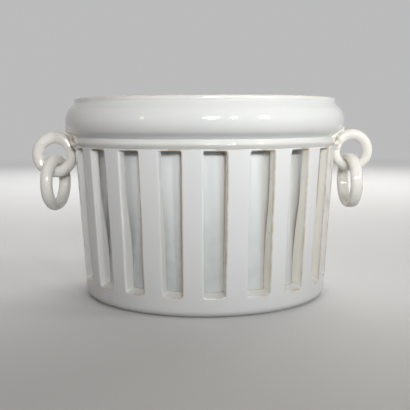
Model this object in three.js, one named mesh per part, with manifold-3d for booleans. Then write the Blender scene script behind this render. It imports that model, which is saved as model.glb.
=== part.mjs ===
import * as THREE from 'three';
import { mergeVertices } from 'three/addons/utils/BufferGeometryUtils.js';
import Module from 'manifold-3d';

const wasm = await Module();
wasm.setup();

// Round openwork planter in white tin-glazed earthenware, in millimetres, standing on z = 0.
// The front looks along -Y. Bearings are measured from the front towards +X, in degrees.

// Fit between pieces that touch, and the facets of a full turn
const seam = 0.3;
const turnSteps = 60;

// Inner pot, which holds the plant pot and stands on its own foot ring
const potHeight = 171.1;
const potOuterBase = 119.6;
const potOuterTop = 121;
const potWall = 8;
const footRecess = 3;
const floorTop = 12;
const floorCove = 7;

// Pierced outer wall, which flares while the inner pot stays nearly upright
const wallOuterBase = 130.4;
const wallOuterTop = 140.4;
const wallHeight = 161;
const wallThickness = 9;
const baseEdgeRadius = 8;

// The slats' backs lie against the inner pot low down, then leave it as the wall flares
const backLeaves = 40;
const backTurn = { radius: 121.6, height: 62 };
const backClear = 106;

// Slots cut through the outer wall, and the slats left between them
const slatCount = 20;
const firstSlatBearing = -5;
const slatShare = 0.4636;
const slotBottom = 20.6;
const slotTop = 158.9;
const slotCornerRadius = 4;
const slotEdgeChamfer = 1.6;
const cornerReach = 6;

// The slot right of the front slat is cut this much narrower than the others, on its right side
const tightSlot = 0;
const tightSlotTrim = 2.8;

// How far the knife reaches behind and in front of the face, past all the wall's slope and curve
const knifeBehind = 23;
const knifeInFront = 6;
const flareLift = 0.6;

// Half-round string moulding, and the roll under the lip with its hollow back
const stringBulge = 3;
const rollCentreRadius = 139;
const rollCentreHeight = 186;
const rollReach = 11.2;
const rollFall = 14.6;
const rollRise = 16.6;
const rollUnderEnd = -85;
const rollShoulder = 65;
const rollThroatHeight = 189;
const rollThroatPull = { throat: 12, wall: 5, height: 181 };

// Upright lip collar, with a small cove where it leaves the roll
const lipBottom = 205.3;
const lipTop = 210;
const lipOuter = 140.5;
const lipWall = 8.7;
const lipEdge = 2.2;
const lipCove = { out: 0.6, down: 1 };

// Fixed loops at the sides and the free rings that hang in them
const loops = {
  left: { side: -1, reach: 164.2, height: 150.1, bend: 18.6, tube: 6.5 },
  right: { side: 1, reach: 160.9, height: 153.8, bend: 17.8, tube: 5.5 },
};
const rings = {
  left: { bend: 25.2, depth: 12, width: 13.2, turn: -12.3, aside: 0, slack: 0.5 },
  right: { bend: 25.8, depth: 8.4, width: 12.8, turn: 6.5, aside: 1, slack: 0.6 },
};

// Clay smeared over the joint of each loop
const padReach = { across: 9, along: 28, up: 14 };
const padHeight = 168;
const padRadius = 142;

const outerGlaze = { color: 0xeceae4, roughness: 0.16, metalness: 0 };
const innerGlaze = { color: 0xdcdfdd, roughness: 0.2, metalness: 0 };
const handleGlaze = { color: 0xe9e5da, roughness: 0.16, metalness: 0 };

const radians = THREE.MathUtils.degToRad;
const pitch = 360 / slatCount;
const wallSlope = (wallOuterTop - wallOuterBase) / wallHeight;
const clearRadius = wallOuterTop + 20;

const wallOuter = (z) => wallOuterBase + wallSlope * z;
const potOuter = (z) => potOuterBase + ((potOuterTop - potOuterBase) * z) / potHeight;
const point = (r, z) => new THREE.Vector2(r, z);

// A body of revolution from a profile that runs anticlockwise in (radius, height).
function turned(profile, startBearing = 0) {
  const start = radians(startBearing);
  const geometry = new THREE.LatheGeometry([...profile, profile[0]], turnSteps, start, 2 * Math.PI);
  return geometry.rotateX(Math.PI / 2);
}

// Points on an ellipse, between two angles in degrees.
function arcPoints(x, z, reachX, reachZ, from, to, steps) {
  const arc = new THREE.EllipseCurve(x, z, reachX, reachZ, radians(from), radians(to), to < from, 0);
  return arc.getPoints(steps);
}

function toSolid(geometry) {
  const bare = geometry.clone();
  bare.deleteAttribute('normal');
  bare.deleteAttribute('uv');
  const welded = mergeVertices(bare, 1e-4);
  const source = welded.index.array;
  const corners = [];
  for (let i = 0; i < source.length; i += 3) {
    const [a, b, c] = source.slice(i, i + 3);
    if (a !== b && b !== c && c !== a) corners.push(a, b, c);
  }
  return new wasm.Manifold(new wasm.Mesh({
    numProp: 3,
    vertProperties: new Float32Array(welded.attributes.position.array),
    triVerts: new Uint32Array(corners),
  }));
}

function toGeometry(solid) {
  const mesh = solid.getMesh();
  const geometry = new THREE.BufferGeometry();
  geometry.setAttribute('position', new THREE.BufferAttribute(mesh.vertProperties, 3));
  geometry.setIndex(new THREE.BufferAttribute(mesh.triVerts, 1));
  geometry.computeVertexNormals();
  return geometry;
}

// The part of a solid between two heights.
function slice(solid, from, to) {
  const slab = new THREE.BoxGeometry(2 * clearRadius, 2 * clearRadius, to - from);
  slab.translate(0, 0, (from + to) / 2);
  return solid.intersect(toSolid(slab));
}

// Floor of the inner pot, recessed below and coved where it meets the wall.
function potFloor() {
  const edge = potOuter(0) - potWall - seam;
  const cove = arcPoints(edge - floorCove, floorTop + floorCove, floorCove, floorCove, 0, -90, 2);
  return turned([point(0, footRecess), point(edge, footRecess), ...cove, point(0, floorTop)]);
}

// Plain wall of the inner pot, which shows through every slot and ends below in the foot ring.
function potWallShell() {
  return turned([
    point(potOuterBase - potWall, 0),
    point(potOuterBase, 0),
    point(potOuterTop, potHeight),
    point(potOuterTop - potWall, potHeight),
  ]);
}

// The whole outer wall before it is pierced. Low down it is thick enough to meet the pot.
function plainWall() {
  const inner = (z) => wallOuter(z) - wallThickness;
  const edge = baseEdgeRadius;
  const footEdge = arcPoints(wallOuter(edge) - edge, edge, edge, edge, -90, 0, 3);
  const back = new THREE.QuadraticBezierCurve(
    point(inner(backClear), backClear),
    point(backTurn.radius, backTurn.height),
    point(potOuter(backLeaves) + seam, backLeaves),
  );
  return turned([
    point(potOuterBase + seam, 0),
    ...footEdge,
    point(wallOuterTop, wallHeight),
    point(inner(wallHeight), wallHeight),
    ...back.getPoints(2),
  ], firstSlatBearing);
}

// Outline of one slot on the sloping face, wider at the top as the wall flares.
function slotOutline(trim) {
  const halfAngle = radians((pitch * (1 - slatShare)) / 2);
  const left = (z) => -wallOuter(z) * Math.sin(halfAngle);
  const right = (z) => wallOuter(z) * Math.sin(halfAngle) - trim;
  const radius = slotCornerRadius;
  const shape = new THREE.Shape();
  shape.moveTo(left(slotBottom) + radius, slotBottom);
  shape.lineTo(right(slotBottom) - radius, slotBottom);
  shape.quadraticCurveTo(right(slotBottom), slotBottom, right(slotBottom), slotBottom + radius);
  shape.lineTo(right(slotTop), slotTop - radius);
  shape.quadraticCurveTo(right(slotTop), slotTop, right(slotTop) - radius, slotTop);
  shape.lineTo(left(slotTop) + radius, slotTop);
  shape.quadraticCurveTo(left(slotTop), slotTop, left(slotTop), slotTop - radius);
  shape.lineTo(left(slotBottom), slotBottom + radius);
  shape.quadraticCurveTo(left(slotBottom), slotBottom, left(slotBottom) + radius, slotBottom);
  return shape;
}

// Knife for one slot: a straight cut through the wall, and a flare that softens its outer edge.
function slotKnife(index) {
  const outline = slotOutline(index === tightSlot ? tightSlotTrim : 0);
  const through = new THREE.ExtrudeGeometry(outline, {
    depth: knifeBehind + knifeInFront,
    bevelEnabled: false,
    curveSegments: 2,
  });
  through.translate(0, 0, -knifeBehind);
  const flare = new THREE.ExtrudeGeometry(outline, {
    depth: knifeInFront - flareLift,
    bevelEnabled: true,
    bevelThickness: slotEdgeChamfer + flareLift,
    bevelSize: slotEdgeChamfer + flareLift,
    bevelSegments: 1,
    curveSegments: 2,
  });
  flare.translate(0, 0, flareLift);
  const bearing = radians(firstSlatBearing + pitch * (index + 0.5));
  for (const blade of [through, flare]) {
    blade.rotateX(Math.PI / 2 + Math.atan(wallSlope));
    blade.translate(0, -wallOuterBase, 0);
    blade.rotateZ(bearing);
  }
  return toSolid(through).add(toSolid(flare));
}

function piercedWall() {
  let wall = toSolid(plainWall());
  for (let index = 0; index < slatCount; index += 1) {
    wall = wall.subtract(slotKnife(index));
  }
  return wall;
}

// One slat out of the pierced wall: what lies within half a pitch of its bearing.
function slatFrom(wall, index) {
  const from = slotBottom + cornerReach + seam;
  const to = slotTop - cornerReach - seam;
  const spread = clearRadius * Math.tan(radians(pitch / 2));
  const wedge = new THREE.Shape([point(0, 0), point(-spread, -clearRadius), point(spread, -clearRadius)]);
  const sector = new THREE.ExtrudeGeometry(wedge, { depth: to - from, bevelEnabled: false });
  sector.translate(0, 0, from);
  sector.rotateZ(radians(firstSlatBearing + pitch * index));
  return wall.intersect(toSolid(sector));
}

// Narrow half-round moulding that runs above the slots.
function stringMoulding() {
  const low = wallHeight + seam;
  const middle = (low + potHeight) / 2;
  const bulge = arcPoints(wallOuterTop, middle, stringBulge, potHeight - middle, -90, 90, 3);
  const inner = wallOuterTop - wallThickness;
  return turned([point(inner, low), ...bulge, point(inner, potHeight)]);
}

// Large roll under the lip, hollowed behind so that it narrows the mouth down to the inner pot.
function rollMoulding() {
  const low = potHeight + seam;
  const top = lipBottom - seam;
  const throat = lipOuter - lipWall;
  const inside = potOuterTop - potWall;
  const under = arcPoints(rollCentreRadius, rollCentreHeight, rollReach, rollFall, rollUnderEnd, 0, 4);
  const over = arcPoints(rollCentreRadius, rollCentreHeight, rollReach, rollRise, 0, rollShoulder, 3);
  const hollow = new THREE.CubicBezierCurve(
    point(throat, rollThroatHeight),
    point(throat, rollThroatHeight - rollThroatPull.throat),
    point(inside + rollThroatPull.wall, rollThroatPull.height),
    point(inside, low),
  );
  return turned([
    ...under,
    ...over.slice(1),
    point(lipOuter + lipCove.out, top - lipCove.down),
    point(lipOuter, top),
    point(throat, top),
    ...hollow.getPoints(3),
  ]);
}

function lipCollar() {
  const inner = lipOuter - lipWall;
  const outerEdge = arcPoints(lipOuter - lipEdge, lipTop - lipEdge, lipEdge, lipEdge, 0, 90, 1);
  const innerEdge = arcPoints(inner + lipEdge, lipTop - lipEdge, lipEdge, lipEdge, 90, 180, 1);
  return turned([point(inner, lipBottom), point(lipOuter, lipBottom), ...outerEdge, ...innerEdge]);
}

// The outside of the whole vessel, swollen by the seam, to seat what is luted onto it.
function seatBody() {
  const middle = (wallHeight + seam + potHeight) / 2;
  const bulgeRise = potHeight - middle + seam;
  const rollOut = rollReach + seam;
  const rollDown = rollFall + seam;
  return toSolid(turned([
    point(0, 0),
    point(wallOuterBase + seam, 0),
    point(wallOuterTop + seam, wallHeight - seam),
    ...arcPoints(wallOuterTop, middle, stringBulge + seam, bulgeRise, -80, 80, 5),
    ...arcPoints(rollCentreRadius, rollCentreHeight, rollOut, rollDown, rollUnderEnd, 60, 6),
    point(0, lipTop - lipEdge),
  ]));
}

function loopTorus({ side, reach, height, bend, tube }, swell = 0) {
  const torus = new THREE.TorusGeometry(bend, tube + swell, 10, 26);
  torus.rotateX(Math.PI / 2);
  return torus.translate(side * reach, 0, height);
}

// A loop is bent from a roll of clay and pressed onto the wall.
function fixedLoop(loop, seat) {
  return toSolid(loopTorus(loop)).subtract(seat);
}

// The clay smeared over the joint, up under the roll and along the string moulding.
function loopPad(loop, seat) {
  const lump = new THREE.SphereGeometry(1, 12, 6);
  lump.rotateX(Math.PI / 2);
  lump.scale(padReach.across, padReach.along, padReach.up);
  lump.translate(loop.side * padRadius, 0, padHeight);
  return toSolid(lump).subtract(seat).subtract(toSolid(loopTorus(loop, seam)));
}

// A free ring, upright and square to the wall, with its centre at the origin.
function freeRing(ring) {
  const torus = new THREE.TorusGeometry(ring.bend, ring.depth / 2, 10, 32);
  torus.scale(1, 1, ring.width / ring.depth);
  return torus.rotateY(Math.PI / 2);
}

function addPiece(group, name, geometry, finish) {
  const mesh = new THREE.Mesh(geometry, new THREE.MeshStandardMaterial(finish));
  mesh.name = name;
  group.add(mesh);
  return mesh;
}

const planter = new THREE.Group();
addPiece(planter, 'pot_floor', toGeometry(toSolid(potFloor())), innerGlaze);
addPiece(planter, 'pot_wall', toGeometry(toSolid(potWallShell())), innerGlaze);

const wall = piercedWall();
addPiece(planter, 'base_band', toGeometry(slice(wall, 0, slotBottom + cornerReach)), outerGlaze);
for (let index = 0; index < slatCount; index += 1) {
  const name = `slat_${String(index + 1).padStart(2, '0')}`;
  addPiece(planter, name, toGeometry(slatFrom(wall, index)), outerGlaze);
}
addPiece(planter, 'top_band', toGeometry(slice(wall, slotTop - cornerReach, wallHeight)), outerGlaze);
addPiece(planter, 'string_moulding', toGeometry(toSolid(stringMoulding())), outerGlaze);
addPiece(planter, 'roll_moulding', toGeometry(toSolid(rollMoulding())), outerGlaze);
addPiece(planter, 'lip_collar', toGeometry(toSolid(lipCollar())), outerGlaze);

// Each ring hangs near the lowest point of its loop and is turned a little off square.
const seat = seatBody();
for (const hand of ['left', 'right']) {
  const loop = loops[hand];
  const ring = rings[hand];
  addPiece(planter, `${hand}_loop`, toGeometry(fixedLoop(loop, seat)), handleGlaze);
  addPiece(planter, `${hand}_loop_pad`, toGeometry(loopPad(loop, seat)), handleGlaze);
  const hanging = addPiece(planter, `${hand}_ring`, toGeometry(toSolid(freeRing(ring))), handleGlaze);
  const rest = loop.height - loop.bend + loop.tube + ring.slack;
  hanging.position.set(loop.side * (loop.reach - ring.aside), 0, rest + ring.depth / 2 - ring.bend);
  hanging.rotation.z = radians(ring.turn);
}

export default planter;
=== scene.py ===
import math

import bmesh
import bpy
from mathutils import Matrix, Vector, noise


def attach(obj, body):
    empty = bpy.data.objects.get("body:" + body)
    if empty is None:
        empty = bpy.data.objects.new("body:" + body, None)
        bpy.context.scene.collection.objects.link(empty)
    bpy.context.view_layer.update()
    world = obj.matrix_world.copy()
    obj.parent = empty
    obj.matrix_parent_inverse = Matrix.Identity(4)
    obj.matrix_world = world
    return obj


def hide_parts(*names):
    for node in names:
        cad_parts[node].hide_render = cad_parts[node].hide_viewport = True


# Openwork planter in white tin-glazed earthenware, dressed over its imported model.
# Lengths are in millimetres and bearings in degrees from the front towards +X;
# every piece is scaled to metres once it is shaped.

noise.seed_set(7)  # the same unevenness on every run

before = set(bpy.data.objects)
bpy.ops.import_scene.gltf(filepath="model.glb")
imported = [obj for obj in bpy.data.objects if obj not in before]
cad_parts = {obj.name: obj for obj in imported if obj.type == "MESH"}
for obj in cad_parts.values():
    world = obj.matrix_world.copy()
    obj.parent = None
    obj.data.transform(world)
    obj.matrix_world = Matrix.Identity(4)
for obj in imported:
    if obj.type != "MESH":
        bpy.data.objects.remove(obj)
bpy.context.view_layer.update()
scene = bpy.context.scene
millimetre = 0.001
sameHeight = 0.01             # heights no further apart than this are one
mergeWithin = 0.002           # and so are corners of a mesh

vessel = {
    "wallBase": 130.4,        # outer radius of the pierced wall at the foot
    "wallTop": 140.4,
    "wallHeight": 161.0,
    "stringCentre": 165.1,
    "stringReach": 2.3,
    "stringRise": 4.5,
    "rollRadius": 139.0,
    "rollCentre": 186.0,
    "rollReach": 11.2,
    "rollFall": 14.7,
    "rollRise": 16.6,
    "wobble": 0.35,           # how far hands and kiln moved the clay
    "wobbleReach": 46.0,
    "wobblePlace": (3.0, 1.11, -3.0),  # where in the noise it is read
    "flatFoot": 22.0,         # over this height it comes to move up and down as well
}


def wallRadius(z):
    share = z / vessel["wallHeight"]
    return vessel["wallBase"] + (vessel["wallTop"] - vessel["wallBase"]) * share


def outsideRadius(z):  # wall, string moulding and roll as one outline
    radius = wallRadius(min(z, vessel["wallHeight"]))
    drop = (z - vessel["stringCentre"]) / vessel["stringRise"]
    if abs(drop) < 1:
        radius = max(radius, vessel["wallTop"] + vessel["stringReach"] * math.sqrt(1 - drop * drop))
    rise = z - vessel["rollCentre"]
    fall = rise / (vessel["rollRise"] if rise > 0 else vessel["rollFall"])
    if abs(fall) < 1:
        radius = max(radius, vessel["rollRadius"] + vessel["rollReach"] * math.sqrt(1 - fall * fall))
    return radius


def bearingOf(co):
    return math.degrees(math.atan2(co.x, -co.y))


def onVessel(radius, bearing, z):
    angle = math.radians(bearing)
    return Vector((radius * math.sin(angle), -radius * math.cos(angle), z))


def clamp(value, low=0.0, high=1.0):
    return max(low, min(high, value))


def smoothStep(low, high, value):
    t = clamp((value - low) / (high - low))
    return t * t * (3 - 2 * t)


# Mesh helpers

def arc(x, z, reachX, reachZ, start, end, steps):  # part of an oval, from one angle to another
    points = []
    for i in range(steps + 1):
        angle = math.radians(start + (end - start) * i / steps)
        points.append((x + reachX * math.cos(angle), z + reachZ * math.sin(angle)))
    return points


def spinProfile(bm, points, steps, closed=True):
    verts = [bm.verts.new((0, -r, z)) for r, z in points]
    edges = [bm.edges.new(pair) for pair in zip(verts, verts[1:])]
    if closed:
        edges.append(bm.edges.new((verts[-1], verts[0])))
    bmesh.ops.spin(bm, geom=verts + edges, cent=(0, 0, 0), axis=(0, 0, 1),
                   angle=2 * math.pi, steps=steps, use_merge=True)
    bmesh.ops.remove_doubles(bm, verts=bm.verts, dist=mergeWithin)


def subdivided(bm, levels):
    mesh = bpy.data.meshes.new("softening")
    bm.to_mesh(mesh)
    bm.free()
    working = bpy.data.objects.new("softening", mesh)
    scene.collection.objects.link(working)
    soften = working.modifiers.new("soften", "SUBSURF")
    soften.levels = soften.render_levels = levels
    graph = bpy.context.evaluated_depsgraph_get()
    result = bmesh.new()
    result.from_object(working, graph)
    bpy.data.objects.remove(working)
    bpy.data.meshes.remove(mesh)
    return result


def vesselWobble(bm):
    for v in bm.verts:
        shift = noise.noise_vector(v.co / vessel["wobbleReach"] + Vector(vessel["wobblePlace"]))
        lift = smoothStep(0, vessel["flatFoot"], v.co.z)  # the foot stays flat on its surface
        v.co += Vector((shift.x, shift.y, shift.z * lift)) * vessel["wobble"]


bends = {                     # how sharply the surface bends, per millimetre,
    "ridge": (0.06, 0.26),    # where the glaze begins to thin over an edge, and where it is thinnest
    "hollow": (0.03, 0.2),    # and the same where it gathers in a corner
    "blur": 2,
    "leastArea": 1e-6,
}


def paintForm(bm):
    ridge = bm.verts.layers.float.new("ridge")
    hollow = bm.verts.layers.float.new("hollow")
    bm.normal_update()
    bend = {}
    for v in bm.verts:
        area = sum(f.calc_area() / len(f.verts) for f in v.link_faces)
        turn = sum(e.calc_length() * e.calc_face_angle_signed(0) for e in v.link_edges)
        bend[v] = turn / (4 * area) if area > bends["leastArea"] else 0
    for _ in range(bends["blur"]):
        bend = {v: (bend[v] * 2 + sum(bend[e.other_vert(v)] for e in v.link_edges))
                / (2 + len(v.link_edges)) for v in bm.verts}
    for v in bm.verts:
        v[ridge] = smoothStep(*bends["ridge"], bend[v])
        v[hollow] = smoothStep(*bends["hollow"], -bend[v])


def paintDeep(bm, depthOf):
    deep = bm.verts.layers.float.new("deep")
    for v in bm.verts:
        v[deep] = clamp(depthOf(v.co))


def capCuts(bm):
    cut = [e for e in bm.edges if e.is_boundary]
    caps = bmesh.ops.holes_fill(bm, edges=cut, sides=0)["faces"]
    for face in caps:
        face.smooth = False
        for edge in face.edges:
            edge.smooth = False
    bmesh.ops.triangulate(bm, faces=caps)


def makePiece(name, bm, nodes, body, material):
    bmesh.ops.scale(bm, vec=(millimetre,) * 3, verts=bm.verts)
    mesh = bpy.data.meshes.new(name)
    bm.to_mesh(mesh)
    bm.free()
    piece = bpy.data.objects.new(name, mesh)
    scene.collection.objects.link(piece)
    mesh.materials.append(material)
    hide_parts(*nodes)
    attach(piece, body)


def smoothAll(bm):
    bmesh.ops.recalc_face_normals(bm, faces=bm.faces)
    for face in bm.faces:
        face.smooth = True


def readyForGlaze(bm, depthOf=lambda co: 0):  # depthOf gives the share of the bare tone and of the painted light and shade at a place
    smoothAll(bm)
    paintForm(bm)
    paintDeep(bm, depthOf)


# Materials

glazing = {
    # scale, per metre, and detail of each pattern
    "broad": (11, 3),
    "fine": (90, 3),
    "runs": (70, 2),
    "peel": (260, 2),
    "waves": (38, 2),
    "runStretch": (1, 1, 0.09),           # streaks left by the glaze as it ran down
    # values of the pattern between which a tone comes in, and its least and greatest share
    "coolPatches": (0.36, 0.68, 0.0, 0.75),
    "coolRuns": (0.5, 0.8, 0.0, 0.35),
    "pooledAndShadeShare": (0.3, 0.7, 0.6, 0.78),
    "thinShare": (0.36, 0.66, 0.35, 0.95),
    "bareAndPaintedShare": (0.3, 0.7, 0.7, 1.0),
    "roughness": (0.3, 0.7, 0.06, 0.11),
    "bareAndPaintedRoughness": 0.3,                 # what is added to it on bare clay and on painted light and shade
    # how much each pattern adds to the relief
    "peelRelief": 0.12,
    "waveRelief": 0.9,
    "runRelief": 0.28,
    "bump": 0.5,
    "refraction": 1.52,
    "coatRoughness": 0.04,
}
colourUnder, colourOver, colourOut = 6, 7, 2  # sockets of a Mix node that mixes colours


def maths(tree, kind, first, second):
    node = tree.nodes.new("ShaderNodeMath")
    node.operation = kind
    for socket, value in zip(node.inputs, (first, second)):
        if isinstance(value, (int, float)):
            socket.default_value = value
        else:
            tree.links.new(value, socket)
    return node.outputs[0]


def ranged(tree, source, low, high, toLow=0.0, toHigh=1.0, kind="LINEAR"):
    remap = tree.nodes.new("ShaderNodeMapRange")
    remap.interpolation_type = kind
    for socket, value in zip(("From Min", "From Max", "To Min", "To Max"), (low, high, toLow, toHigh)):
        remap.inputs[socket].default_value = value
    tree.links.new(source, remap.inputs["Value"])
    return remap.outputs["Result"]


def mixed(tree, share, under, over):  # under and over are sockets or plain tones
    node = tree.nodes.new("ShaderNodeMix")
    node.data_type = "RGBA"
    tree.links.new(share, node.inputs["Factor"])
    for index, value in ((colourUnder, under), (colourOver, over)):
        if isinstance(value, tuple):
            node.inputs[index].default_value = (*value, 1)
        else:
            tree.links.new(value, node.inputs[index])
    return node.outputs[colourOut]


def makeGlazeGroup():
    # tone, relief and gloss of a tin glaze: mottled body, thin edges, pooled corners and bare clay, whose
    # tones also carry painted light and shade
    group = bpy.data.node_groups.new("tinGlaze", "ShaderNodeTree")
    for names, kind, side in ((("Place",), "NodeSocketVector", "INPUT"),
                              (("Ridge", "Hollow", "Deep"), "NodeSocketFloat", "INPUT"),
                              (("Body", "Cool", "Pooled", "Thin", "Bare"), "NodeSocketColor", "INPUT"),
                              (("Colour",), "NodeSocketColor", "OUTPUT"),
                              (("Relief", "Gloss"), "NodeSocketFloat", "OUTPUT")):
        for name in names:
            group.interface.new_socket(name=name, in_out=side, socket_type=kind)
    nodes, links = group.nodes, group.links
    given = nodes.new("NodeGroupInput").outputs
    made = nodes.new("NodeGroupOutput").inputs

    def noiseAt(label, stretch=(1, 1, 1)):
        scale, detail = glazing[label]
        mapping = nodes.new("ShaderNodeMapping")
        mapping.inputs["Scale"].default_value = stretch
        pattern = nodes.new("ShaderNodeTexNoise")
        pattern.inputs["Scale"].default_value = scale
        pattern.inputs["Detail"].default_value = detail
        links.new(given["Place"], mapping.inputs["Vector"])
        links.new(mapping.outputs["Vector"], pattern.inputs["Vector"])
        return pattern.outputs["Fac"]

    broad = noiseAt("broad")
    fine = noiseAt("fine")
    runs = noiseAt("runs", glazing["runStretch"])
    colour = mixed(group, ranged(group, broad, *glazing["coolPatches"]), given["Body"], given["Cool"])
    colour = mixed(group, ranged(group, runs, *glazing["coolRuns"]), colour, given["Cool"])
    for painted, pattern, share, tone in (("Hollow", fine, "pooledAndShadeShare", "Pooled"),
                                          ("Ridge", fine, "thinShare", "Thin"),
                                          ("Deep", broad, "bareAndPaintedShare", "Bare")):
        there = maths(group, "MULTIPLY", given[painted], ranged(group, pattern, *glazing[share]))
        colour = mixed(group, there, colour, given[tone])
    links.new(colour, made["Colour"])

    relief = maths(group, "ADD", maths(group, "MULTIPLY", noiseAt("peel"), glazing["peelRelief"]),
                   maths(group, "MULTIPLY", noiseAt("waves"), glazing["waveRelief"]))
    relief = maths(group, "ADD", relief, maths(group, "MULTIPLY", runs, glazing["runRelief"]))
    links.new(relief, made["Relief"])
    gloss = maths(group, "ADD", ranged(group, fine, *glazing["roughness"]),
                  maths(group, "MULTIPLY", given["Deep"], glazing["bareAndPaintedRoughness"]))
    links.new(gloss, made["Gloss"])
    return group


glazeGroup = makeGlazeGroup()


def glazeMaterial(name, tones, coat, reliefDepth):
    material = bpy.data.materials.new(name)
    material.use_nodes = True
    nodes, links = material.node_tree.nodes, material.node_tree.links
    surface = nodes["Principled BSDF"]
    surface.inputs["IOR"].default_value = glazing["refraction"]
    surface.inputs["Coat Weight"].default_value = coat
    surface.inputs["Coat Roughness"].default_value = glazing["coatRoughness"]
    place = nodes.new("ShaderNodeTexCoord")
    glaze = nodes.new("ShaderNodeGroup")
    glaze.node_tree = glazeGroup
    links.new(place.outputs["Object"], glaze.inputs["Place"])
    for label in ("ridge", "hollow", "deep"):
        painted = nodes.new("ShaderNodeAttribute")
        painted.attribute_name = label
        links.new(painted.outputs["Fac"], glaze.inputs[label.capitalize()])
    for label, tone in tones.items():
        glaze.inputs[label].default_value = (*tone, 1)
    bump = nodes.new("ShaderNodeBump")
    bump.inputs["Strength"].default_value = glazing["bump"]
    bump.inputs["Distance"].default_value = reliefDepth
    links.new(glaze.outputs["Relief"], bump.inputs["Height"])
    links.new(bump.outputs["Normal"], surface.inputs["Normal"])
    links.new(glaze.outputs["Colour"], surface.inputs["Base Color"])
    links.new(glaze.outputs["Gloss"], surface.inputs["Roughness"])
    return material


wallGlaze = glazeMaterial("wallGlaze", {
    "Body": (0.74, 0.743, 0.735),
    "Cool": (0.705, 0.717, 0.72),
    "Pooled": (0.76, 0.75, 0.7),
    # thin glaze at edges, partly painted shade along the slats' left edges
    "Thin": (0.54, 0.42, 0.28),
    # on the wall this is a light warm tone of painted light on the slats' shaded flanks and sills
    "Bare": (0.88, 0.82, 0.69),
}, coat=0.3, reliefDepth=0.0006)
# painted light: the wall's glaze, made lighter on the inner pot so the slots look as brightly lit as the
# fronts; its dark grey pooled tone is painted shade
potGlazeLit = glazeMaterial("potGlazeLit", {
    "Body": (0.85, 0.87, 0.865),
    "Cool": (0.81, 0.835, 0.84),
    "Pooled": (0.38, 0.4, 0.4),
    "Thin": (0.6, 0.52, 0.42),
    "Bare": (0.5, 0.39, 0.29),
}, coat=0.3, reliefDepth=0.0006)
# painted shade: the wall's glaze, made darker for the string, roll and lip, whose upper faces take more of
# the lamps' light
rimGlazeShaded = glazeMaterial("rimGlazeShaded", {
    "Body": (0.68, 0.682, 0.667),
    "Cool": (0.645, 0.655, 0.655),
    "Pooled": (0.68, 0.67, 0.63),
    "Thin": (0.68, 0.63, 0.55),
    "Bare": (0.42, 0.35, 0.27),
}, coat=0.4, reliefDepth=0.0005)
handleGlaze = glazeMaterial("handleGlaze", {
    "Body": (0.84, 0.82, 0.765),
    "Cool": (0.8, 0.795, 0.755),
    "Pooled": (0.6, 0.55, 0.44),
    "Thin": (0.66, 0.57, 0.45),
    # painted shade in the joints and the thumbprint's hollow, and bare clay inside the rings' feet
    "Bare": (0.15, 0.1, 0.07),
}, coat=0.5, reliefDepth=0.0005)
print("glazes mixed")


# Pierced wall: a band with its slots left out, thickened inwards, softened and cut into its pieces

pierced = {
    "slats": 20,
    "firstBearing": -5.0,
    "slatShare": 0.4636,
    "footFlat": 122.9,        # radius where the rounded lower edge meets the surface below
    "edgeRadius": 8.0,
    "edgeSteps": 5,
    "thickness": 9.0,         # of a slat, above the height where its back leaves the pot for good
    "potFace": 119.7,         # the band and the feet of the slats reach the inner pot here
    "backLeaves": 40.0,
    "backClear": 106.0,
    "backCurve": 1.6,
    "slotLow": 20.6,
    "slotHigh": 158.9,
    "sillRise": 4.2,          # glaze and slip fill the corner between sill and inner pot
    "sillCurve": 1.6,
    "lintelFall": 0.6,
    "fullDepth": 12.0,        # how far in they reach their full height
    "edgeSoft": 2.3,
    "cornerSoft": 3.4,
    "softHeight": 90.0,       # both are true at this height
    # heights of the rows: in the band, above the sill, up the slats and over the slots
    "bandRow": 13.5,
    "sillRow": 11.0,
    "slatRows": (46, 66, 86, 106, 126, 142),
    "lintelRow": 1.1,
    # slats left wider on their left side, by this at the top and at the foot
    "leftTrim": {0: (0.4, 1.8), 1: (2.7, 3.1), 19: (0.8, 1.4)},
    "layers": (0.25, 0.75, 1.0),
    "cutLow": 26.75,
    "cutHigh": 152.75,
    "handCut": 0.4,           # how unsteady the knife was
    "handReach": 37.0,
    "handPlace": (3.7, 1.3, 5.0),  # steps in the noise from slat to slat and side to side, and its layer
    # degrees by which each slat was cut off its even place, where it was
    "nudge": {0: 0.3, 1: 0.65, 2: 1.1, 3: 1.3, 17: 1.3, 18: 1.2, 19: 1.0},
    "nudgeElsewhere": 0.6,
    "shadedFlank": 0.7,       # painted light: a light warm tone for the light bounced onto the shaded left flank of every slat, little elsewhere,
    "brightFlank": 0.2,
    "flankDepth": (1.2, 4.0),
    "flankAbove": 5.0,        # on the left flank from this far above the sill;
    "rightRidge": 0.12,       # over its right edge the thin brown glaze is cut down, so the brown left edges are partly painted shade
}


def wallRows():
    low, high = pierced["slotLow"], pierced["slotHigh"]
    soft, corner = pierced["edgeSoft"], pierced["cornerSoft"]
    edge = pierced["edgeRadius"]
    heights = [pierced["bandRow"], low - soft, low, low + corner, low + pierced["sillRow"],
               *pierced["slatRows"], high - corner, high, high + pierced["lintelRow"], vessel["wallHeight"]]
    return (arc(pierced["footFlat"], edge, edge, edge, -90, 0, pierced["edgeSteps"])
            + [(wallRadius(z), z) for z in heights])


def backRadius(z):  # the wall flares away from the pot, so its back leaves the pot gently
    clear = wallRadius(max(z, pierced["backClear"])) - pierced["thickness"]
    share = clamp((z - pierced["backLeaves"]) / (pierced["backClear"] - pierced["backLeaves"]))
    return pierced["potFace"] + (clear - pierced["potFace"]) * share ** pierced["backCurve"]


def asideOfSlat(co):  # in pitches from the middle of the nearest slat, negative on its left
    turn = (bearingOf(co) - pierced["firstBearing"]) / (360 / pierced["slats"])
    return turn - round(turn)


# painted light: share of the wall's light warm tone, strongest on each slat's shaded left flank
def flankPaintedLight(co):
    shaded = asideOfSlat(co) < 0 and co.z > pierced["slotLow"] + pierced["flankAbove"]
    inward = wallRadius(co.z) - math.hypot(co.x, co.y)
    return smoothStep(*pierced["flankDepth"], inward) * pierced["shadedFlank" if shaded else "brightFlank"]


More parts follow.
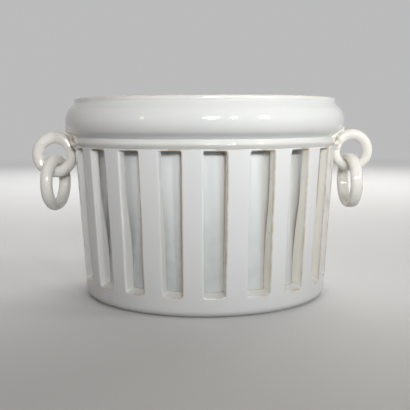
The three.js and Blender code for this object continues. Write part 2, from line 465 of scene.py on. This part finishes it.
def makePiercedWall():
    slats = pierced["slats"]
    pitch = 360 / slats
    half = pitch * pierced["slatShare"] / 2
    rows = wallRows()
    radii = {round(z, 3): r for r, z in rows}
    low, high = pierced["slotLow"], pierced["slotHigh"]
    softAngle = math.degrees(pierced["edgeSoft"] / wallRadius(pierced["softHeight"]))
    cornerAngle = math.degrees(pierced["cornerSoft"] / wallRadius(pierced["softHeight"]))
    # for each column its bearing from the middle of its slat, and which side of a slat it is on
    columns = ((-half, -1), (softAngle - half, -1), (0, 0), (half - softAngle, 1), (half, 1),
               (half + cornerAngle, 1), (pitch / 2, 0), (pitch - half - cornerAngle, -1))
    slotFrom, slotMiddle, nextSlat = 4, 6, 7
    perPitch = len(columns)
    total = slats * perPitch

    def frontRadius(z):
        return radii[round(z, 3)]

    bm = bmesh.new()
    spinProfile(bm, rows, total, closed=False)
    step = 360 / total
    opened = []
    for face in bm.faces:
        middle = face.calc_center_median()
        column = int((bearingOf(middle) % 360) / step) % perPitch
        if column >= slotFrom and low < middle.z < high:
            opened.append(face)
    bmesh.ops.delete(bm, geom=opened, context="FACES")

    perSlat, perSide, layer = pierced["handPlace"]
    for v in bm.verts:  # even columns go to the slats' real bearings, with the knife's wander
        slat, place = divmod(round((bearingOf(v.co) % 360) / step) % total, perPitch)
        radius = frontRadius(v.co.z)
        across, side = columns[place]
        bearing = pierced["firstBearing"] + pitch * slat + across
        owner = slat + (1 if place == nextSlat else 0)
        hand = Vector((owner * perSlat + side * perSide, v.co.z / pierced["handReach"], layer))
        wander = noise.noise(hand) * pierced["handCut"]
        if side < 0:
            trimTop, trimFoot = pierced["leftTrim"].get(owner % slats, (0, 0))
            wander -= trimFoot + (trimTop - trimFoot) * v.co.z / vessel["wallHeight"]
        bearing += math.degrees(wander * abs(side) / radius)
        if place != slotMiddle:
            bearing += pierced["nudge"].get(owner % slats, pierced["nudgeElsewhere"])
        v.co = onVessel(radius, bearing, v.co.z)

    moved = list(bm.faces)
    for depth, share in enumerate(pierced["layers"]):
        grown = bmesh.ops.extrude_face_region(bm, geom=moved)["geom"]
        if depth:  # only the face of the wall stays, the layers inside the clay go
            bmesh.ops.delete(bm, geom=moved, context="FACES")
        moved = [g for g in grown if isinstance(g, bmesh.types.BMFace)]
        for v in [g for g in grown if isinstance(g, bmesh.types.BMVert)]:
            outer = frontRadius(v.co.z)
            v.co = onVessel(outer - (outer - backRadius(v.co.z)) * share, bearingOf(v.co), v.co.z)
    bmesh.ops.recalc_face_normals(bm, faces=bm.faces)
    for v in bm.verts:
        inward = clamp((frontRadius(v.co.z) - math.hypot(v.co.x, v.co.y)) / pierced["fullDepth"])
        if abs(v.co.z - low) < sameHeight:
            v.co.z += pierced["sillRise"] * inward ** pierced["sillCurve"]
        if abs(v.co.z - high) < sameHeight:
            v.co.z -= pierced["lintelFall"] * inward

    bm = subdivided(bm, 2)
    vesselWobble(bm)
    for v in bm.verts:
        v.co.z = max(v.co.z, 0.0)
    readyForGlaze(bm, flankPaintedLight)
    # painted shade: the thin brown glaze is cut down over the slats' right edges, so it stays on their
    # shaded left edges
    ridge = bm.verts.layers.float["ridge"]
    for v in bm.verts:
        if asideOfSlat(v.co) > 0:
            v[ridge] *= pierced["rightRidge"]
    return bm


def cutWall(bm):
    cuts = pierced["cutLow"], pierced["cutHigh"]
    pitch = 360 / pierced["slats"]

    def part(below=None, above=None):
        copy = bm.copy()
        for z, clearAbove in ((below, True), (above, False)):
            if z is not None:
                bmesh.ops.bisect_plane(copy, geom=copy.verts[:] + copy.edges[:] + copy.faces[:],
                                       plane_co=(0, 0, z), plane_no=(0, 0, 1),
                                       clear_outer=clearAbove, clear_inner=not clearAbove)
        return copy

    base = part(below=cuts[0])
    capCuts(base)
    makePiece("baseBand", base, ["base_band"], "vessel", wallGlaze)
    top = part(above=cuts[1])
    capCuts(top)
    makePiece("topBand", top, ["top_band"], "vessel", wallGlaze)

    middle = part(below=cuts[1], above=cuts[0])
    marks = middle.faces.layers.int.new("slat")
    for face in middle.faces:
        turn = bearingOf(face.calc_center_median()) - pierced["firstBearing"]
        face[marks] = round(turn / pitch) % pierced["slats"]
    for index in range(pierced["slats"]):
        slat = middle.copy()
        mark = slat.faces.layers.int["slat"]
        bmesh.ops.delete(slat, geom=[f for f in slat.faces if f[mark] != index], context="FACES")
        slat.faces.layers.int.remove(mark)
        capCuts(slat)
        makePiece(f"slat{index + 1:02d}", slat, [f"slat_{index + 1:02d}"], "vessel",
                  wallGlaze)
    middle.free()
    bm.free()


cutWall(makePiercedWall())
print("wall pierced")


# Inner pot

innerPot = {
    "steps": 320,
    "rows": 44,
    "rowsInside": 12,
    "outerBase": 119.6,
    "outerTop": 121.0,
    "innerBase": 111.6,
    "innerTop": 113.0,
    "skin": 116.0,            # what is further out belongs to the outer face
    "height": 171.2,
    "footSoft": 1.2,
    "ringWithin": 0.5,        # ends of an edge along the foot differ less than this in radius
    "floorUnder": 3.0,
    "floorTop": 12.0,
    "floorSteps": 160,
    "floorReach": 0.05,       # how far the floor goes into the wall
    "ringsUnder": (40, 80),
    "ringsAbove": (80, 50, 20),
    "cove": 7.0,
    "coveSteps": 8,
    # painted shadow: a warm brown shadow of each slat painted on the pot to its left: its strength in front
    # and elsewhere
    "shade": 0.95,
    "shadeElsewhere": 0.3,
    "frontLeft": (34, 50),    # degrees to the left and right over which the front ends
    "frontRight": (6, 16),
    "lean": 0.0066,           # how much further it reaches for each degree to the left
    "leanWithin": (-12, 34),
    "shadeSoft": 0.06,        # softness of its edge, and how much later it starts and ends in front
    "laterStart": 0.15,
    "laterEnd": 0.14,
    # painted shade: the pot is darker and greyer towards the foot, more so on the left: shares,
    # the heights between which each ends, and the degrees to the left between which it begins
    "greyLow": 0.6,
    "greyHeights": (20, 165),
    "greyLeft": 0.3,
    "greyLeftFrom": (-25, 10),
    "greyFarLeft": 0.35,
    "greyFarLeftHeights": (40, 150),
    "greyFarLeftFrom": (10, 34),
    "greyBehind": (80, 120),  # and where the two on the left end behind
}


# painted shadow of the slats on the pot, to the left of each; in front it lies further from the slat's
# middle the further left the slat stands
def potShade(co):
    aside = asideOfSlat(co)
    if co.xy.length < innerPot["skin"] or aside > 0:
        return 0
    bearing = bearingOf(co)
    front = 1 - smoothStep(*innerPot["frontLeft"], -bearing)
    front *= 1 - smoothStep(*innerPot["frontRight"], bearing)
    edge = pierced["slatShare"] + innerPot["lean"] * clamp(-bearing, *innerPot["leanWithin"]) * front
    strong = innerPot["shadeElsewhere"] + (innerPot["shade"] - innerPot["shadeElsewhere"]) * front
    start = edge - innerPot["shadeSoft"] + innerPot["laterStart"] * front
    end = edge + innerPot["shadeSoft"] + innerPot["laterEnd"] * front
    return (1 - smoothStep(start, end, abs(aside) * 2)) * strong


# painted shade: share of the pot's dark grey tone, greater towards the foot and on the left
def potShadeLowLeft(co):
    left = -bearingOf(co)
    front = 1 - smoothStep(*innerPot["greyBehind"], left)
    share = innerPot["greyLow"] + innerPot["greyLeft"] * smoothStep(*innerPot["greyLeftFrom"], left) * front
    low = 1 - smoothStep(*innerPot["greyHeights"], co.z)
    farLeft = innerPot["greyFarLeft"] * smoothStep(*innerPot["greyFarLeftFrom"], left) * front
    return share * low + farLeft * (1 - smoothStep(*innerPot["greyFarLeftHeights"], co.z))


def makeInnerPot():
    rows, rowsInside = innerPot["rows"], innerPot["rowsInside"]
    outside = [(innerPot["outerBase"] + (innerPot["outerTop"] - innerPot["outerBase"]) * i / rows,
                innerPot["height"] * i / rows) for i in range(rows + 1)]
    inside = [(innerPot["innerTop"] + (innerPot["innerBase"] - innerPot["innerTop"]) * i / rowsInside,
               innerPot["height"] * (1 - i / rowsInside)) for i in range(rowsInside + 1)]
    bm = bmesh.new()
    spinProfile(bm, outside + inside, innerPot["steps"])
    foot = [e for e in bm.edges if all(abs(v.co.z) < sameHeight for v in e.verts)
            and abs(e.verts[0].co.xy.length - e.verts[1].co.xy.length) < innerPot["ringWithin"]]
    bmesh.ops.bevel(bm, geom=foot, offset=innerPot["footSoft"], offset_type="OFFSET", segments=3,
                    profile=0.5, affect="EDGES", material=-1)
    vesselWobble(bm)
    readyForGlaze(bm, potShade)
    # painted shade low down and on the left goes into the hollow share
    hollow = bm.verts.layers.float["hollow"]
    for v in bm.verts:
        if v.co.xy.length > innerPot["skin"]:
            v[hollow] = clamp(max(v[hollow], potShadeLowLeft(v.co)))
    makePiece("potWall", bm, ["pot_wall"], "vessel", potGlazeLit)

    edge = innerPot["innerBase"] + innerPot["floorReach"]
    top, cove = innerPot["floorTop"], innerPot["cove"]
    floor = [(radius, innerPot["floorUnder"]) for radius in (0, *innerPot["ringsUnder"], edge)]
    floor += arc(edge - cove, top + cove, cove, cove, 0, -90, innerPot["coveSteps"])
    floor += [(radius, top) for radius in (*innerPot["ringsAbove"], 0)]
    bm = bmesh.new()
    spinProfile(bm, floor, innerPot["floorSteps"], closed=False)
    readyForGlaze(bm)
    makePiece("potFloor", bm, ["pot_floor"], "vessel", potGlazeLit)


makeInnerPot()
print("inner pot turned")


# Mouldings and lip

rim = {
    "steps": 220,
    "stringInner": 131.4,
    "stringSteps": 18,
    "stringFull": 0.75,       # under 1 the bead is fuller than a plain wave
    "stringCrease": (3.4, 4.5),
    "stringCreaseShade": 0.3,
    "throat": 131.8,
    "throatHeight": 189.0,
    "throatPull": 12.0,
    "potInside": 113.0,
    "potPull": (5.0, 8.0),
    "hollowSteps": 12,
    "rollLow": 169.6,
    "rollUnder": -48,         # degrees below and above its widest point where its round ends
    "rollOver": 60,
    "rollSteps": 12,
    "tuckSunk": 0.2,          # how its underside turns in to the wall
    "tuckPull": (0.3, 0.9),
    "tuckTurn": 2.3,
    "tuckSteps": 7,
    "covePulls": ((142.6, 203.0), (140.7, 204.0)),
    "coveSteps": 6,
    "underLip": 0.5,
    "lipFoot": 205.2,
    "lipTop": 210.0,
    "lipOuter": 140.5,
    "lipSoft": 2.3,
    "lipSteps": 6,
    "lipInset": 0.05,
    "lipStraight": 1.0,
    "lipCrown": 0.1,
}


def bezier(first, second, third, fourth, steps):
    points = []
    for i in range(steps + 1):
        t = i / steps
        a, b, c, d = (1 - t) ** 3, 3 * t * (1 - t) ** 2, 3 * t * t * (1 - t), t ** 3
        points.append(tuple(a * p + b * q + c * r + d * s
                            for p, q, r, s in zip(first, second, third, fourth)))
    return points


def turnMoulding(name, node, profile, depthOf=lambda co: 0):
    bm = bmesh.new()
    spinProfile(bm, profile, rim["steps"])
    vesselWobble(bm)
    readyForGlaze(bm, depthOf)
    makePiece(name, bm, [node], "vessel", rimGlazeShaded)


def makeString():
    middle, rise = vessel["stringCentre"], vessel["stringRise"]
    string = [(rim["stringInner"], middle - rise)]
    for i in range(rim["stringSteps"] + 1):  # a soft bead, its creases filled by the glaze
        share = 2 * i / rim["stringSteps"] - 1
        bulge = (0.5 + 0.5 * math.cos(math.pi * share)) ** rim["stringFull"]
        string.append((vessel["wallTop"] + vessel["stringReach"] * bulge, middle + rise * share))
    string.append((rim["stringInner"], middle + rise))
    # painted shade: the bead's underside, in the crease against the wall, takes the dark tone
    turnMoulding("stringMoulding", "string_moulding", string,
                 lambda co: smoothStep(*rim["stringCrease"], middle - co.z) * rim["stringCreaseShade"])


def makeRoll():
    centre, height, reach = vessel["rollRadius"], vessel["rollCentre"], vessel["rollReach"]
    wall, low, turn = vessel["wallTop"], rim["rollLow"], rim["tuckTurn"]
    under = arc(centre, height, reach, vessel["rollFall"], rim["rollUnder"], 0, rim["rollSteps"])
    pullOut, pullUp = rim["tuckPull"]
    turnIn = bezier((wall - rim["tuckSunk"], low), (wall + pullOut, low + pullUp),
                    (under[0][0] - turn, under[0][1] - turn), under[0], rim["tuckSteps"])
    over = arc(centre, height, reach, vessel["rollRise"], 0, rim["rollOver"], rim["rollSteps"])
    underLip = rim["lipFoot"] + rim["underLip"]
    cove = bezier(over[-1], *rim["covePulls"], (rim["lipOuter"], underLip), rim["coveSteps"])
    throat, mouth, pot = rim["throat"], rim["throatHeight"], rim["potInside"]
    pullOut, pullDown = rim["potPull"]
    hollow = bezier((throat, mouth), (throat, mouth - rim["throatPull"]), (pot + pullOut, mouth - pullDown),
                    (pot, innerPot["height"]), rim["hollowSteps"])
    turnMoulding("rollMoulding", "roll_moulding",
                 turnIn[:-1] + under + over[1:] + cove[1:] + [(throat, underLip)] + hollow)


def makeLip():
    soft, outer, top, throat = rim["lipSoft"], rim["lipOuter"], rim["lipTop"], rim["throat"]
    lip = [(throat, rim["lipFoot"]), (outer - rim["lipInset"], rim["lipFoot"]),
           (outer, top - soft - rim["lipStraight"])]
    lip += arc(outer - soft, top - soft, soft, soft, 0, 90, rim["lipSteps"])
    lip += [((outer + throat) / 2, top + rim["lipCrown"])]
    lip += arc(throat + soft, top - soft, soft, soft, 90, 180, rim["lipSteps"])
    turnMoulding("lipCollar", "lip_collar", lip)


makeString()
makeRoll()
makeLip()
print("rim turned")


# Side loops, the clay pressed over their joints, and the free rings

handles = {  # reach and height of each loop's middle, bend of its centre line, radius of its tube
    "left": {"side": -1, "reach": 164.3, "height": 150.2, "bend": 18.7, "tube": 6.5, "crown": 0.04,
             "ringBend": 25.2, "ringDepth": 12.0, "ringWidth": 13.2, "ringTurn": -12.3, "ringAside": 0.0,
             "ringSlack": 0.5, "flat": 2.15},
    "right": {"side": 1, "reach": 160.6, "height": 153.8, "bend": 17.6, "tube": 5.5, "crown": 0.09,
              "ringBend": 25.7, "ringDepth": 8.4, "ringWidth": 12.8, "ringTurn": 6.5, "ringAside": 1.2,
              "ringSlack": 0.1, "flat": 2.7},
}
coil = {
    "around": 28,
    "along": 110,
    "lumps": 0.35,            # unevenness of clay rolled by hand
    "ringLumps": 0.8,         # share of it on the free rings
    "lumpReach": 17.0,
    "loopPlace": 11,          # where in the noise the loops and the rings are read
    "ringPlace": 23,
    "press": 0.5,             # the rings' lower part was pressed flat where the coil was closed
    "pressAt": 4,
    "pressReach": 22,
    "wallClear": 0.3,         # painted shade darkens a loop where it goes into its pad or the wall,
    "jointGap": (-0.5, 2.4),
    "jointShade": 0.5,
    "footInside": (0.5, 1.0),
    "footDepth": (8, 22),
    "footBare": 0.22,         # and bare clay shows a little inside the foot of each ring
}
pad = {
    "columns": 180,
    "rows": 120,
    "across": 30.0,           # degrees from the loop to the pad's furthest smear
    "up": 13.5,
    "height": 168.0,
    "wall": 143.0,            # radius on which distances to the rims are measured
    "thick": 4.6,
    "lumpAcross": 6.5,
    "rimThick": 4.0,          # the two rims of the thumbprint beside the loop
    "secondRim": 0.6,         # share of it on the outer rim
    "rimWidth": 1.5,
    # ends of each rim: degrees from the loop, and height
    "rims": (((5.5, 179.5), (10.5, 172), (15.5, 161.5)), ((11, 178.5), (19, 170), (27, 160.5))),
    "printTop": 179.0,        # the thumb's hollow between them
    "printHigh": 18.0,
    "printSide": (0.3, 1.3),
    "printFoot": (163.5, 167.0),
    "printHead": (174.0, 176.5),
    "printSkin": 0.25,        # of clay left on the vessel there
    "printShadeReach": (0.8, 2.2),  # how far out its painted shade ends
    "sunk": 1.1,              # elsewhere the clay was wiped away and the vessel shows
    "rooted": 1.0,            # how much deeper the pad's back lies
    "fade": 0.3,              # share of the pad over which the rims fade out at its edge
    "filling": 3.0,           # the clay bridges the creases of the mouldings over this height
    "settled": 0.3,
    "shown": (0.05, 0.4),     # how much clay there has to be for it to show
    "tear": 0.9,
    "tearThick": 0.3,
    "tearReach": (4.0, 2.6),
    "tearPlace": (7, 3.0),
    "edgeRound": 0.25,
    "jointGap": (0.1, 1.5),
    "jointShade": 0.55,
}


def coilRing(bend, depth, width, flat):
    # a closed coil round the Y axis, its section between an ellipse and a soft strap
    bm = bmesh.new()
    bmesh.ops.create_circle(bm, segments=coil["around"], radius=1)
    for v in bm.verts:
        size = (abs(v.co.x) ** flat + abs(v.co.y) ** flat) ** (1 / flat)
        v.co = Vector((v.co.x / size * depth / 2 + bend, v.co.y / size * width / 2, 0))
    bmesh.ops.spin(bm, geom=bm.verts[:] + bm.edges[:], cent=(0, 0, 0), axis=(0, 1, 0),
                   angle=2 * math.pi, steps=coil["along"], use_merge=True)
    bmesh.ops.remove_doubles(bm, verts=bm.verts, dist=mergeWithin)
    return bm


def coilWobble(bm, amount, place):
    for v in bm.verts:
        v.co += noise.noise_vector(v.co / coil["lumpReach"] + Vector((place, -place, 0.5 * place))) * amount


def makeLoop(hand, spec):
    tube = 2 * spec["tube"]
    bm = coilRing(spec["bend"], tube, tube, 2)
    for v in bm.verts:  # thicker at the crown, worn thinner where the ring hangs
        out = v.co.xz.length
        crown = spec["crown"] * v.co.z / out
        v.co.y *= 1 + crown
        inside = (spec["bend"] + spec["tube"] - out) * crown
        v.co.x -= v.co.x / out * inside
        v.co.z -= v.co.z / out * inside
    coilWobble(bm, coil["lumps"], coil["loopPlace"] + spec["side"])
    bmesh.ops.translate(bm, vec=(spec["side"] * spec["reach"], 0, spec["height"]), verts=bm.verts)

    # painted shade where the loop goes into its pad or the wall
    def nearVessel(co):
        reach = pad["thick"] if co.z > pad["height"] - pad["up"] else coil["wallClear"]
        gap = co.xy.length - outsideRadius(co.z) - reach
        return (1 - smoothStep(*coil["jointGap"], gap)) * coil["jointShade"]
    readyForGlaze(bm, nearVessel)
    makePiece(f"{hand}Loop", bm, [f"{hand}_loop"], "vessel", handleGlaze)


def makeRing(hand, spec):
    bm = coilRing(spec["ringBend"], spec["ringDepth"], spec["ringWidth"], spec["flat"])
    for v in bm.verts:
        around = math.degrees(math.atan2(v.co.x, -v.co.z))
        press = math.exp(-((around - coil["pressAt"]) / coil["pressReach"]) ** 2) * coil["press"]
        v.co *= 1 - press / spec["ringBend"]
    coilWobble(bm, coil["lumps"] * coil["ringLumps"], coil["ringPlace"] + 2 * spec["side"])
    for angle in (math.pi / 2, math.radians(spec["ringTurn"])):
        bmesh.ops.rotate(bm, cent=(0, 0, 0), matrix=Matrix.Rotation(angle, 3, "Z"), verts=bm.verts)
    inside = spec["ringBend"] - spec["ringDepth"] / 2
    drop = inside - spec["tube"] - spec["ringSlack"]
    centre = Vector((spec["side"] * (spec["reach"] - spec["ringAside"]), 0,
                     spec["height"] - spec["bend"] - drop))
    bmesh.ops.translate(bm, vec=centre, verts=bm.verts)

    def innerFoot(co):
        away = co - centre
        before, after = coil["footInside"]
        inner = 1 - smoothStep(inside - before, spec["ringBend"] - after, away.length)
        return inner * smoothStep(*coil["footDepth"], -away.z) * coil["footBare"]
    readyForGlaze(bm, innerFoot)
    makePiece(f"{hand}Ring", bm, [f"{hand}_ring"], f"{hand}_hanging_ring", handleGlaze)


def gapToRim(offset, height, rimLine):
    # distance on the wall, in millimetres, to the nearest stretch of a rim
    perDegree = math.radians(1) * pad["wall"]
    spot = Vector((offset * perDegree, height))
    gaps = []
    for a, b in zip(rimLine, rimLine[1:]):
        start, end = Vector((a[0] * perDegree, a[1])), Vector((b[0] * perDegree, b[1]))
        share = clamp((spot - start).dot(end - start) / (end - start).length_squared)
        gaps.append((spot - start.lerp(end, share)).length)
    return min(gaps)


def inPrint(offset, height):
    # 1 in the thumbprint's hollow, between its two rims
    along = clamp((pad["printTop"] - height) / pad["printHigh"])
    first, second = (line[0][0] + (line[-1][0] - line[0][0]) * along for line in pad["rims"])
    across = smoothStep(*pad["printSide"], offset - first) * smoothStep(*pad["printSide"], second - offset)
    return across * smoothStep(*pad["printFoot"], height) * (1 - smoothStep(*pad["printHead"], height))


def padSurface(offset, height, fade, side):  # radius of the clay's face, offset in degrees from the loop
    base = outsideRadius(height)
    step = pad["filling"]
    filled = max(base, (outsideRadius(height - step) + base + outsideRadius(height + step)) / 3)
    acrossReach, upReach = pad["tearReach"]
    perSide, layer = pad["tearPlace"]
    torn = noise.noise(Vector((offset / acrossReach + perSide * side, height / upReach, layer)))
    near = [math.exp(-(gapToRim(abs(offset), height + torn, line) / pad["rimWidth"]) ** 2)
            for line in pad["rims"]]
    lump = math.exp(-(offset / pad["lumpAcross"]) ** 2)
    rimmed = max(near[0], pad["secondRim"] * near[1]) * pad["rimThick"] * fade
    thick = max(lump * pad["thick"], rimmed) * (1 + pad["tearThick"] * torn) + torn * pad["tear"] * lump
    shown = smoothStep(*pad["shown"], max(lump, near[0] * fade, near[1] * fade))
    low = base - pad["sunk"] + (pad["sunk"] + pad["printSkin"]) * inPrint(abs(offset), height)
    return low * (1 - shown) + (filled - pad["settled"] + thick) * shown


def makePad(hand, spec):
    bm = bmesh.new()
    bmesh.ops.create_uvsphere(bm, u_segments=pad["columns"], v_segments=pad["rows"], radius=1)
    side = spec["side"]
    for v in bm.verts:
        u, w, out = v.co.x, v.co.y, v.co.z  # towards the front, up, off the wall
        height = pad["height"] + pad["up"] * w
        offset = pad["across"] * u
        surface = padSurface(offset, height, smoothStep(0, pad["fade"], 1 - math.hypot(u, w)), side)
        inner = outsideRadius(height) - pad["sunk"] - pad["rooted"]
        swell = max(out, 0) ** pad["edgeRound"]
        v.co = onVessel(inner + (surface - inner) * swell, side * (90 - offset), height)

    # painted shade where the pad meets its loop, and in the thumbprint's hollow
    def nearLoop(co):
        apart = co - Vector((side * spec["reach"], 0, spec["height"]))
        tubeGap = math.hypot(math.hypot(apart.x, apart.z) - spec["bend"], apart.y) - spec["tube"]
        joint = (1 - smoothStep(*pad["jointGap"], tubeGap)) * pad["jointShade"]
        printShade = inPrint(abs(90 - side * bearingOf(co)), co.z)
        return max(joint, printShade * (1 - smoothStep(*pad["printShadeReach"], co.xy.length - outsideRadius(co.z))))
    readyForGlaze(bm, nearLoop)
    makePiece(f"{hand}LoopPad", bm, [f"{hand}_loop_pad"], "vessel", handleGlaze)


for hand, spec in handles.items():
    makeLoop(hand, spec)
    makePad(hand, spec)
    makeRing(hand, spec)
print("handles hung")


# Floor, light and camera, with distances in metres

studio = {
    "floorRadius": 18.0,
    "floorSteps": 96,
    "floorRoughness": 0.8,
    "floorGloss": 0.2,
    "floorTone": (0.74, 0.74, 0.74),
    "floorBounce": (0.13, 0.13, 0.135),   # what the floor gives back as light
    "fadeFrom": 0.7,
    "fadeTo": 3.2,
    "backTone": (0.5, 0.5, 0.505),
    "leftSky": (0.52, 0.45, 0.39),
    "rightSky": (0.62, 0.61, 0.57),
    "skyStrength": 0.35,
    "skyFrom": -0.7,          # how far left it has its left tone, and how far right its right one
    "skyTo": 0.5,
    "middle": 0.15,           # height round which the lamps hang
    "lampsAway": 2.2,
}


def seenRays(tree):
    # 1 for what the camera sees, directly, in a gloss or through glass
    path = tree.nodes.new("ShaderNodeLightPath")
    total = path.outputs["Is Camera Ray"]
    for name in ("Is Glossy Ray", "Is Transmission Ray"):
        total = maths(tree, "MAXIMUM", total, path.outputs[name])
    return total


def mixShaders(tree, share, first, second, end):
    mix = tree.nodes.new("ShaderNodeMixShader")
    for socket, source in zip(mix.inputs, (share, first, second)):
        tree.links.new(source, socket)
    tree.links.new(mix.outputs["Shader"], end)


def makeFloor():
    bm = bmesh.new()
    bmesh.ops.create_circle(bm, cap_ends=True, segments=studio["floorSteps"], radius=studio["floorRadius"])
    mesh = bpy.data.meshes.new("studioFloor")
    bm.to_mesh(mesh)
    bm.free()
    floor = bpy.data.objects.new("studioFloor", mesh)
    scene.collection.objects.link(floor)
    material = bpy.data.materials.new("paleFloor")
    material.use_nodes = True
    tree = material.node_tree
    surface = tree.nodes["Principled BSDF"]
    surface.inputs["Roughness"].default_value = studio["floorRoughness"]
    surface.inputs["Specular IOR Level"].default_value = studio["floorGloss"]
    seen = seenRays(tree)
    tone = mixed(tree, seen, studio["floorBounce"], studio["floorTone"])
    tree.links.new(tone, surface.inputs["Base Color"])
    place = tree.nodes.new("ShaderNodeTexCoord")
    away = tree.nodes.new("ShaderNodeVectorMath")
    away.operation = "LENGTH"
    tree.links.new(place.outputs["Object"], away.inputs[0])
    fade = ranged(tree, away.outputs["Value"], studio["fadeFrom"], studio["fadeTo"], kind="SMOOTHERSTEP")
    distance = tree.nodes.new("ShaderNodeEmission")
    distance.inputs["Color"].default_value = (*studio["backTone"], 1)
    mixShaders(tree, maths(tree, "MULTIPLY", fade, seen), surface.outputs["BSDF"],
               distance.outputs["Emission"], tree.nodes["Material Output"].inputs["Surface"])
    mesh.materials.append(material)


def makeWorld():
    world = bpy.data.worlds.new("studioWorld")
    scene.world = world
    world.use_nodes = True
    tree = world.node_tree
    light = tree.nodes["Background"]
    light.inputs["Strength"].default_value = studio["skyStrength"]
    place = tree.nodes.new("ShaderNodeTexCoord")
    parts = tree.nodes.new("ShaderNodeSeparateXYZ")
    tree.links.new(place.outputs["Generated"], parts.inputs["Vector"])
    side = ranged(tree, parts.outputs["X"], studio["skyFrom"], studio["skyTo"])
    sky = mixed(tree, side, studio["leftSky"], studio["rightSky"])
    tree.links.new(sky, light.inputs["Color"])
    shown = tree.nodes.new("ShaderNodeBackground")
    shown.inputs["Color"].default_value = (*studio["backTone"], 1)
    mixShaders(tree, seenRays(tree), light.outputs["Background"], shown.outputs["Background"],
               tree.nodes["World Output"].inputs["Surface"])


windows = {
    "rise": 14.4,             # degrees above the middle of the planter
    "aim": 0.62,              # height that they face
    "spread": 44,
    # bearing, power, size, tone, and whether the gloss shows it
    "each": {
        "windowLeft": (-48, 0.1, (0.1, 0.2), (1.0, 0.8, 0.62), True),
        "fillLeft": (-30, 0.5, (0.6, 0.6), (1.0, 0.97, 0.96), False),
        "windowFacing": (5, 2.8, (0.34, 0.3), (0.965, 0.985, 1.0), True),
        "windowNear": (23, 1.15, (0.13, 0.24), (0.965, 0.99, 1.0), True),
        "windowRight": (46, 1.0, (0.24, 0.3), (0.98, 0.99, 1.0), True),
        "windowSide": (82, 2.1, (0.6, 0.7), (1.0, 0.98, 0.93), False),
    },
}
lamps = {  # bearing, rise, power, size and tone
    "behind": (155, 30, 26, (1.6, 1.2), (1.0, 0.98, 0.95)),
    "behindLeft": (-163, 26, 15, (1.4, 1.2), (0.95, 0.98, 1.0)),
}


def hangLamp(name, bearing, rise, power, size, tone, aim, shows):
    light = bpy.data.lights.new(name, "AREA")
    light.shape = "RECTANGLE"
    light.size, light.size_y = size
    light.energy = power
    light.color = tone
    holder = bpy.data.objects.new(name, light)
    scene.collection.objects.link(holder)
    rise = math.radians(rise)
    away = studio["lampsAway"]
    place = onVessel(away * math.cos(rise), bearing, studio["middle"] + away * math.sin(rise))
    holder.location = place
    holder.rotation_euler = (Vector((0, 0, aim)) - place).to_track_quat("-Z", "Y").to_euler()
    holder.visible_glossy = shows
    return light


def makeLamps():
    for name, (bearing, power, size, tone, shows) in windows["each"].items():
        light = hangLamp(name, bearing, windows["rise"], power, size, tone, windows["aim"], shows)
        light.spread = math.radians(windows["spread"])
    for name, (bearing, rise, power, size, tone) in lamps.items():
        hangLamp(name, bearing, rise, power, size, tone, studio["middle"], False)


eye = {
    "place": (0, -0.8115, 0.1878),
    "down": 6.62,
    "roll": -0.2,
    "lens": 64.78,
    "film": 36,
    "nearest": 0.02,
    "furthest": 60,
}


def makeCamera():
    camera = bpy.data.cameras.new("eye")
    camera.lens = eye["lens"]
    camera.sensor_width = eye["film"]
    camera.clip_start = eye["nearest"]
    camera.clip_end = eye["furthest"]
    holder = bpy.data.objects.new("eye", camera)
    scene.collection.objects.link(holder)
    holder.location = eye["place"]
    look = Matrix.Rotation(math.radians(90 - eye["down"]), 4, "X")
    roll = Matrix.Rotation(math.radians(eye["roll"]), 4, "Z")
    holder.rotation_euler = (look @ roll).to_euler()
    scene.camera = holder


makeFloor()
makeWorld()
makeLamps()
makeCamera()
scene.view_settings.view_transform = "Standard"
print("studio set")
